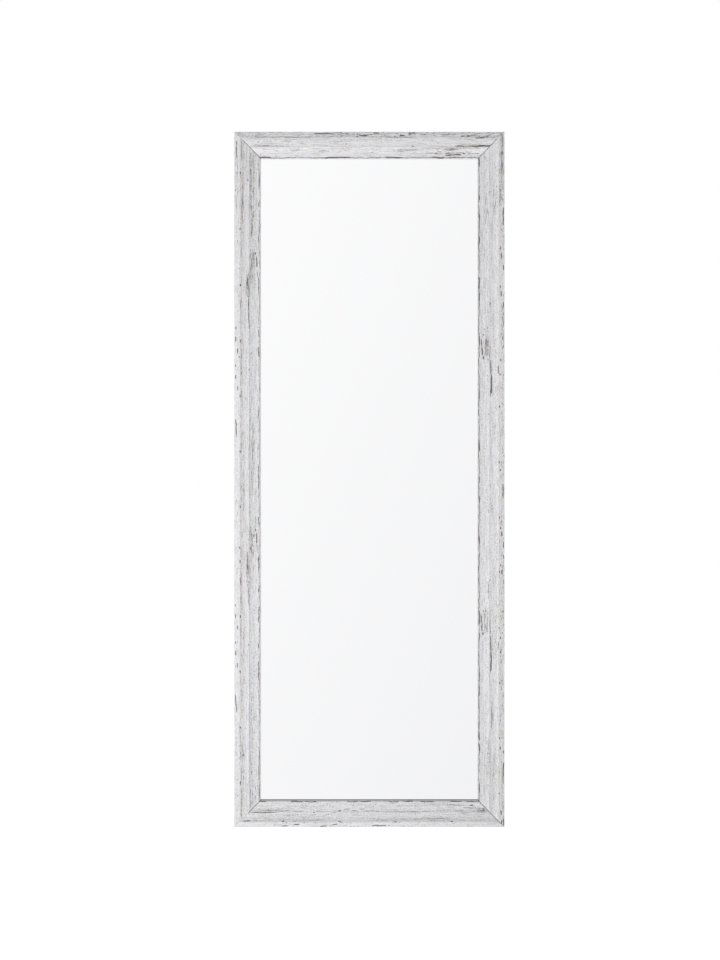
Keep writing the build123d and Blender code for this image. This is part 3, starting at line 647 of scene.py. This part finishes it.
def make_rail(side, finish, raw_finish):
    """One mitred rail: drawn, cut, marked with its wear and painted shade, then carved along cracks, shade
    lines and nibbles.
    """
    length = frame_width if side in ("top", "bottom") else frame_height
    rail = make_moulding(length)
    rail.name = rail.data.name = f"moulding_{side}"
    mitre(rail, length)
    if side == "top":
        rout_pockets(rail)
    places = coordinates(rail)
    across, along, height = places.T / MM
    crack_and_shade, rub, grime, wash_and_painted_light = rail_wear_and_painted_light(side, across, along, height)
    shift = np.array((0.0, 3.1 * RAILS.index(side), 0.0))
    timber = rail.data.attributes.new("timber", "FLOAT_VECTOR", "POINT")
    timber.data.foreach_set("vector", (places + shift).ravel())
    wear = rail.data.attributes.new("wear", "FLOAT_COLOR", "POINT")
    wear.data.foreach_set("color", np.stack((crack_and_shade, rub, grime, wash_and_painted_light), 1).ravel())

    face = np.clip((height - 9) / 4, 0, 1) * (np.minimum(along, length / MM - along) > across + 0.05)
    weigh(rail, "face", face)
    weigh(rail, "crack_and_shade", np.clip(crack_and_shade * 1.2, 0, 1) * face)
    weigh(rail, "edge", np.exp(-(across / 1.2) ** 2) * np.clip((height - 14) / 5, 0, 1))
    guide = bpy.data.objects.new("grain_guide", None)
    bpy.context.scene.collection.objects.link(guide)
    guide.scale = grain_stretch
    carve(rail, "face", grain_depth, grain_texture, guide, 0.4)
    guide.scale = nibble_stretch
    carve(rail, "edge", nibble_depth, grain_texture, guide, 0.2)
    carve(rail, "crack_and_shade", crack_depth)
    bpy.data.objects.remove(guide)
    rail.vertex_groups.clear()

    rail.data.materials.append(finish)
    rail.data.materials.append(raw_finish)
    for polygon in rail.data.polygons:
        x, y, z = polygon.center
        rebate = x > rebate_offset - MM and z < lip_height + 0.1 * MM
        routed = z < pocket_depth + 0.1 * MM and x > 5 * MM and min(y, length - y) > x
        polygon.material_index = int(z < 0.5 * MM or rebate or routed)
    settle(rail, on_mirror @ rail_places[side], "mirror", "whitewashed_wood", f"frame_rail_{side}")
    make_active(rail)
    bpy.ops.object.shade_smooth_by_angle(angle=math.radians(38))
    return rail


grain_stretch = (4 * MM, 90 * MM, 4 * MM)
grain_depth = 0.35 * MM
nibble_stretch = (5 * MM, 9 * MM, 5 * MM)
nibble_depth = 0.9 * MM
crack_depth = 0.6 * MM
grain_texture = bpy.data.textures.new("grain", "CLOUDS")
grain_texture.noise_scale = 1.0
grain_texture.noise_depth = 2


def make_sleeves(finish):
    """Ribbed rubber sleeves on the foot of the stand."""
    points = [v.co for v in frame["nodes"]["stand_foot_sleeves"].data.vertices]
    low, high = (Vector(pick(p[i] for p in points) for i in range(3)) for pick in (min, max))
    radius = (high.z - low.z) / 2
    outline = [(0.0, sleeve_bore), (0.0, radius - sleeve_round),
               (0.3 * sleeve_round, radius - 0.3 * sleeve_round), (sleeve_round, radius)]
    first_rib = (sleeve_length - rib_count * rib_pitch) / 2
    for rib in range(rib_count):
        start = first_rib + rib * rib_pitch
        outline += [(start + groove_width * share, radius - groove_depth * drop)
                    for share, drop in groove_shape]
    outline += [(sleeve_length - x, r) for x, r in outline[3::-1]]
    for number, start in enumerate((low.x, high.x - sleeve_length)):
        sleeve = trace(f"ribbed_sleeve_{number + 1}", outline)
        apply_modifier(sleeve, "turn", "SCREW", angle=2 * math.pi, axis="X", steps=48, render_steps=48,
                       use_merge_vertices=True, merge_threshold=0.01 * MM)
        bpy.ops.object.mode_set(mode="EDIT")
        bpy.ops.mesh.select_all(action="SELECT")
        bpy.ops.mesh.normals_make_consistent(inside=False)
        bpy.ops.object.mode_set(mode="OBJECT")
        sleeve.data.materials.append(finish)
        settle(sleeve, Matrix.Translation((start, (low.y + high.y) / 2, (low.z + high.z) / 2)), "stand",
               "black_rubber", "stand_foot_sleeves")
        bpy.ops.object.shade_smooth_by_angle(angle=math.radians(40))


sleeve_length = 70 * MM
sleeve_bore = 9.53 * MM
sleeve_round = 1.0 * MM
rib_count = 11
rib_pitch = 5.6 * MM
groove_width = 2.2 * MM
groove_depth = 0.8 * MM
# Shares of a groove's width and depth
groove_shape = ((0.0, 0.0), (0.12, 0.7), (0.3, 1.0), (0.7, 1.0), (0.88, 0.7), (1.0, 0.0))


def new_finish(name):
    """A new material and the node tree to fill for it."""
    material = bpy.data.materials.new(name)
    material.use_nodes = True
    return material, Finish(material.node_tree)


def whitewash():
    """White wash over grained wood: grey where it is thin, dark in cracks and painted shade lines, cream
    where rubbed, paler or darker by each rail's painted light and shade.
    """
    material, made = new_finish("whitewash")
    place = made.node("ShaderNodeAttribute", {"attribute_name": "timber"}, None, "Vector")
    wear = made.node("ShaderNodeAttribute", {"attribute_name": "wear"}, None, "Color")
    wash_and_painted_light = made.node("ShaderNodeAttribute", {"attribute_name": "wear"}, None, "Alpha")
    crack_and_shade, rub, grime = (made.node("ShaderNodeSeparateColor", None, {0: wear}, i) for i in range(3))

    rivers = made.noise(made.stretched(place, (110, 4.5, 110)), 1.0, 3, 0.6, 0.5)
    grain = made.noise(made.stretched(place, (560, 9, 560)), 1.0, 3, 0.55, 0.1)
    ticks = made.noise(made.stretched(place, (620, 40, 620), (3, 7, 1)), 1.0, 3, 0.55)
    speckle = made.noise(made.stretched(place, (600, 240, 600), (5, 2, 9)), 1.0, 4, 0.62)
    flecks = made.noise(made.stretched(place, (420, 60, 420), (8, 4, 3)), 1.0, 1, 0.5)
    patches = made.noise(made.stretched(place, (30, 9, 30), (2, 4, 6)), 1.0, 2, 0.5)
    across = made.node("ShaderNodeSeparateXYZ", None, {0: place}, 0)
    outer = 1 - across.between(ridge_offset - 2 * MM, ridge_offset)

    busy = rivers.between(0.35, 0.72) * 0.7 + patches.between(0.35, 0.7) * 0.3 + 0.47
    lines = grain.between(0.42, 0.6)
    short = ticks.between(0.42, 0.6)
    grit = speckle.between(0.4, 0.6)
    thin = (rivers - 0.5) * 0.10 + lines * busy * (0.25 - outer * 0.12) + short * 0.27 + grit * 0.46 - 0.18
    thin = thin + grime * (lines * 0.42 + short * 0.42 - 0.06)
    rare = 0.70 - outer * 0.02 - grime * 0.08
    hair = flecks.between(rare, rare + 0.04)
    thin = (thin + hair * 0.55).clamped()
    colour = made.ramp(thin, (0.0, linear(238, 238, 240)), (0.35, linear(221, 221, 223)),
                       (0.7, linear(184, 182, 182)), (1.0, linear(128, 123, 121)))
    # each rail's colour scaled by its wash level, which holds painted light and shade
    colour = made.node("ShaderNodeVectorMath", {"operation": "SCALE"}, {0: colour, "Scale": wash_and_painted_light}, 0)
    rubbed = (rub * ((speckle - 0.5) * 2.8 + (ticks - 0.5) * 2.8 + 1)).between(0.5, 0.95)
    colour = made.mix(rubbed * 0.85, colour, linear(224, 213, 188))
    # dark in cracks and along the painted shade lines at the sight edges and creases
    crack_and_shade_mask = (crack_and_shade * 1.35 + (speckle - 0.5) * 1.7 + (ticks - 0.5) * 1.3).between(0.57, 0.79)
    bare = made.ramp(grain, (0.3, linear(62, 56, 53)), (0.75, linear(112, 103, 98)))
    colour = made.mix(crack_and_shade_mask * 0.94, colour, bare)
    height = (thin * -0.5) - crack_and_shade_mask + hair * -0.3
    rough = crack_and_shade_mask * 0.15 + (speckle * 0.2 + 0.52)
    made.shine({"Base Color": colour, "Roughness": rough, "Specular IOR Level": 0.35,
                "Normal": made.bump(height, 0.25 * MM, 0.5)})
    return material


def raw_timber():
    """Bare sawn pine of the rails' backs."""
    material, made = new_finish("raw_timber")
    place = made.node("ShaderNodeAttribute", {"attribute_name": "timber"}, None, "Vector")
    rings = made.noise(made.stretched(place, (90, 2.5, 90), (1, 1, 1)), 1.0, 3, 0.6, 1.2)
    fibres = made.noise(made.stretched(place, (900, 30, 900)), 1.0, 3, 0.6)
    strokes_of_saw = {"Vector": place, "Scale": 90.0, "Distortion": 3.0, "Detail Scale": 2.0}
    saw = made.node("ShaderNodeTexWave", {"bands_direction": "Y"}, strokes_of_saw, 1)
    tone = (rings * 0.8 + (fibres - 0.5) * 0.5 + (saw - 0.5) * 0.03).clamped()
    colour = made.ramp(tone, (0.15, linear(217, 190, 150)), (0.5, linear(203, 170, 124)),
                       (0.85, linear(170, 130, 86)))
    wear = made.node("ShaderNodeAttribute", {"attribute_name": "wear"}, None, "Color")
    joint = made.node("ShaderNodeSeparateColor", None, {0: wear}, 0).between(0.3, 0.8)
    colour = made.mix(joint * 0.75, colour, linear(84, 60, 38))
    made.shine({"Base Color": colour, "Roughness": fibres * 0.2 + 0.6, "Specular IOR Level": 0.3,
                "Normal": made.bump(fibres + saw * 0.15 - joint, 0.2 * MM, 0.5)})
    return material


def cover(finish, *names):
    """Gives CAD pieces one finish all over."""
    for name in names:
        slots = frame["nodes"][name].data.materials
        slots.clear()
        slots.append(finish)


def make_mirror_glass():
    """Silvered face with a painted reflection of the bottom lip, green ground edges and grey painted back of
    the glass.
    """
    material, made = new_finish("silvered_glass")
    place = made.node("ShaderNodeTexCoord", None, None, "Object")
    low, high = leaning_box("mirror_glass")
    front = on_mirror.to_3x3() @ Vector((0, 0, 1))
    level = made.node("ShaderNodeVectorMath", {"operation": "DOT_PRODUCT"}, {0: place, 1: front}, "Value")
    depth = (tilt @ Vector((0, 0, high.z))).dot(front) - level
    painted = depth.between((high.z - low.z) * 0.9, (high.z - low.z) * 0.99)
    silver = 1 - depth.between(0.1 * MM, 0.4 * MM)
    edge = made.mix(painted, linear(150, 178, 166), linear(128, 131, 134))
    up_frame = on_mirror.to_3x3() @ Vector((0, 1, 0))
    height = made.node("ShaderNodeVectorMath", {"operation": "DOT_PRODUCT"}, {0: place, 1: up_frame}, "Value")
    sill = (on_mirror @ Vector((0, face_width, 0))).dot(up_frame)
    # painted reflection: a dark line along the foot of the glass, standing for the bottom lip's shaded inner
    # wall seen in the silver
    above_painted_lip_reflection = height.between(sill + painted_lip_reflection_width * 0.8, sill + painted_lip_reflection_width)
    face = made.mix(above_painted_lip_reflection, linear(*painted_lip_reflection_tint), linear(*glass_tint))
    colour = made.mix(silver, edge, face)
    made.shine({"Base Color": colour, "Metallic": silver, "Roughness": (1 - silver) * 0.3})
    cover(material, "mirror_glass")


glass_tint = (252, 252, 253)
painted_lip_reflection_width = 1.4 * MM  # painted reflection of the bottom lip's shaded inner wall, a dark line along the bottom of the glass
painted_lip_reflection_tint = (150, 148, 147)


def steel(name, colour, roughness):
    """Bright zinc plate with a faint bloom and fine rolling marks."""
    material, made = new_finish(name)
    place = made.node("ShaderNodeTexCoord", None, None, "Object")
    bloom = made.noise(place, 70.0, 3, 0.6)
    marks = made.noise(made.stretched(place, (300, 300, 2400)), 1.0, 2, 0.5)
    dark = tuple(c * 0.62 for c in colour[:3]) + (1.0,)
    made.shine({"Base Color": made.mix((bloom * 0.7 + marks * 0.3).between(0.3, 0.7), dark, colour),
                "Metallic": 1.0, "Roughness": bloom * 0.16 + marks * 0.12 + roughness,
                "Normal": made.bump(marks, 0.05 * MM, 0.3)})
    return material


def satin(name, colour, roughness, grain_scale, grain_height, fleck=0.12):
    """A painted, moulded or rubbery surface: even colour with a fine skin."""
    material, made = new_finish(name)
    place = made.node("ShaderNodeTexCoord", None, None, "Object")
    skin = made.noise(place, grain_scale, 2, 0.6)
    dust = made.noise(place, 45.0, 4, 0.65)
    paler = tuple(c + fleck * (0.25 + c) * 0.5 for c in colour[:3]) + (1.0,)
    made.shine({"Base Color": made.mix(dust.between(0.45, 0.8) * 0.6, colour, paler),
                "Roughness": dust * 0.14 + roughness, "Normal": made.bump(skin, grain_height, 0.6)})
    return material


def hardboard():
    """Brown pressed fibre board."""
    material, made = new_finish("hardboard")
    place = made.node("ShaderNodeTexCoord", None, None, "Object")
    fibres = made.noise(place, 900.0, 3, 0.7)
    cloud = made.noise(place, 14.0, 4, 0.6)
    flecks = made.noise(made.stretched(place, (260, 120, 420)), 1.0, 2, 0.8)
    wires = {"Vector": place, "Scale": 150.0, "Distortion": 0.6, "Detail": 1.0}
    screen = [made.node("ShaderNodeTexWave", {"bands_direction": way}, wires, 1) for way in "XZ"]
    mesh = screen[0] * screen[1]
    tone = (cloud * 0.24 + fibres * 0.38 + flecks * 0.36 - mesh * 0.05 + 0.06).clamped()
    colour = made.ramp(tone, (0.3, linear(96, 66, 42)), (0.52, linear(128, 92, 60)),
                       (0.75, linear(158, 120, 84)))
    made.shine({"Base Color": colour, "Roughness": fibres * 0.2 + 0.45,
                "Normal": made.bump(fibres + mesh * 0.8, 0.15 * MM, 0.5)})
    return material


def dress_frame_nodes():
    """Gives every CAD piece that stays its own finish."""
    zinc = steel("zinc_plate", linear(172, 175, 178), 0.26)
    cover(zinc, "backing_clips", "backing_clip_screws", "corner_v_nails", "corner_plates",
          "corner_plate_screws", "keyhole_hangers", "hanger_screws", "stand_bracket_screws",
          "stand_pivot_bolts", "stand_pivot_nuts")
    powder = satin("black_powder_coat", linear(40, 40, 42), 0.42, 900.0, 0.12 * MM)
    cover(powder, "stand_tube", "stand_bracket_left", "stand_bracket_right")
    cover(satin("black_plastic", linear(44, 44, 46), 0.5, 1500.0, 0.06 * MM), "stand_end_plugs")
    cover(satin("pale_rubber", linear(206, 203, 197), 0.7, 700.0, 0.12 * MM, 0.05), "floor_pads")
    cover(satin("nylon", linear(232, 229, 220), 0.38, 1500.0, 0.05 * MM, 0.04), "stand_saddle_washers")
    cover(satin("white_foam", linear(240, 240, 237), 0.8, 1300.0, 0.3 * MM, 0.03), "foam_sheet")
    cover(satin("grey_tape", linear(176, 176, 174), 0.75, 1300.0, 0.2 * MM, 0.05), "glass_tape")
    cover(hardboard(), "backing_board")


def light_world():
    """Soft light from all round, a little stronger from the lower left of the front."""
    world = bpy.data.worlds.new("daylight")
    world.use_nodes = True
    bpy.context.scene.world = world
    sky = Finish(world.node_tree)
    way = sky.node("ShaderNodeTexCoord", None, None, "Generated")
    rays = {name: sky.node("ShaderNodeLightPath", None, None, name) for name in
            ("Is Camera Ray", "Is Glossy Ray", "Is Transmission Ray")}

    def along(direction):
        """How far a ray's way points along a direction."""
        return sky.node("ShaderNodeVectorMath", {"operation": "DOT_PRODUCT"},
                        {0: way, 1: direction}, "Value")

    daylight = (along(soft_light_lean) + soft_light_level).maths("MAXIMUM", 0.0)
    seen = (along(glass_shade_way) * glass_shade_lean + glass_shade_level).maths("MAXIMUM", glass_shade_least)
    seen = seen.maths("MAXIMUM", 1 - along((0, 0, 1)).between(*glass_shade_foot)).maths("MINIMUM", 1.0)
    shown_in_glass = sky.mix(seen, linear(*glass_shade), (1, 1, 1, 1))
    glossy = rays["Is Glossy Ray"].maths("MAXIMUM", rays["Is Transmission Ray"])
    grey = sky.node("ShaderNodeCombineColor", None, {0: daylight, 1: daylight, 2: daylight})
    colour = sky.mix(glossy, grey, shown_in_glass)
    colour = sky.mix(rays["Is Camera Ray"], colour, (1, 1, 1, 1))
    shone = sky.node("ShaderNodeBackground", None, {"Color": colour, "Strength": 1.0})
    sky.node("ShaderNodeOutputWorld", None, {"Surface": shone})


soft_light_lean = Vector((-0.15, -0.16, -0.30))
soft_light_level = 0.51
glass_shade_way = Vector((-0.93, 0.0, 0.37)).normalized()
glass_shade_lean = 1.2
glass_shade_level = 0.78
glass_shade_least = 0.5
glass_shade_foot = (-0.18, -0.07)  # looking down past these, the glass shows white, as the floor does
glass_shade = (222, 223, 224)


def make_lamp(name, place, aim, size, watts, spread=180):
    """A round lamp at a place, aimed at another, its spread in degrees."""
    lamp = bpy.data.objects.new(name, bpy.data.lights.new(name, "AREA"))
    lamp.data.shape = "DISK"
    lamp.data.size = size
    lamp.data.energy = watts
    lamp.data.spread = math.radians(spread)
    lamp.location = place
    lamp.rotation_euler = (Vector(aim) - Vector(place)).to_track_quat("-Z", "Y").to_euler()
    bpy.context.scene.collection.objects.link(lamp)


def make_lamps():
    """A broad low lamp at the front left and a weaker one behind for the back of the mirror."""
    make_lamp("front_lamp", (-1.1, -2.8, 0.5), (0, 0, 0.7), 1.0, 40)
    make_lamp("back_lamp", (1.6, 2.6, 1.6), (0, 0, 0.8), 1.6, 30)


def make_floor():
    """A plain pale floor, white where nothing shades it."""
    bpy.ops.object.select_all(action="DESELECT")
    bpy.ops.mesh.primitive_plane_add(size=1, location=(0, floor_middle, -floor_gap))
    floor = bpy.context.object
    floor.name = "floor"
    floor.scale = (floor_width, floor_depth, 1)
    bpy.ops.object.transform_apply(location=True, rotation=True, scale=True)
    material = bpy.data.materials.new("pale_floor")
    material.use_nodes = True
    pale = Finish(material.node_tree)
    seen = pale.node("ShaderNodeLightPath", None, None, "Is Camera Ray")
    for ray in ("Is Glossy Ray", "Is Transmission Ray"):
        seen = seen.maths("MAXIMUM", pale.node("ShaderNodeLightPath", None, None, ray))
    tone = pale.mix(seen, (0.8, 0.8, 0.8, 1), (0.5, 0.5, 0.5, 1))
    lit = pale.node("ShaderNodeBsdfDiffuse", None, {"Color": tone})
    white = pale.node("ShaderNodeEmission", None, {"Color": (1, 1, 1, 1), "Strength": seen * 0.86})
    both = pale.node("ShaderNodeAddShader", None, {0: lit, 1: white})
    pale.node("ShaderNodeOutputMaterial", None, {"Surface": both})
    floor.data.materials.append(material)


floor_width = 3.6
floor_depth = 2.7
floor_middle = 0.15
floor_gap = 0.5 * MM  # the floor lies this far under the rubber feet

make_camera()
make_mirror_glass()
rail_finishes = whitewash(), raw_timber()
for side in RAILS:
    make_rail(side, *rail_finishes)
dress_frame_nodes()
make_sleeves(satin("black_rubber", linear(38, 38, 38), 0.72, 700.0, 0.12 * MM))
light_world()
make_lamps()
make_floor()

bpy.context.scene.view_settings.view_transform = "Standard"
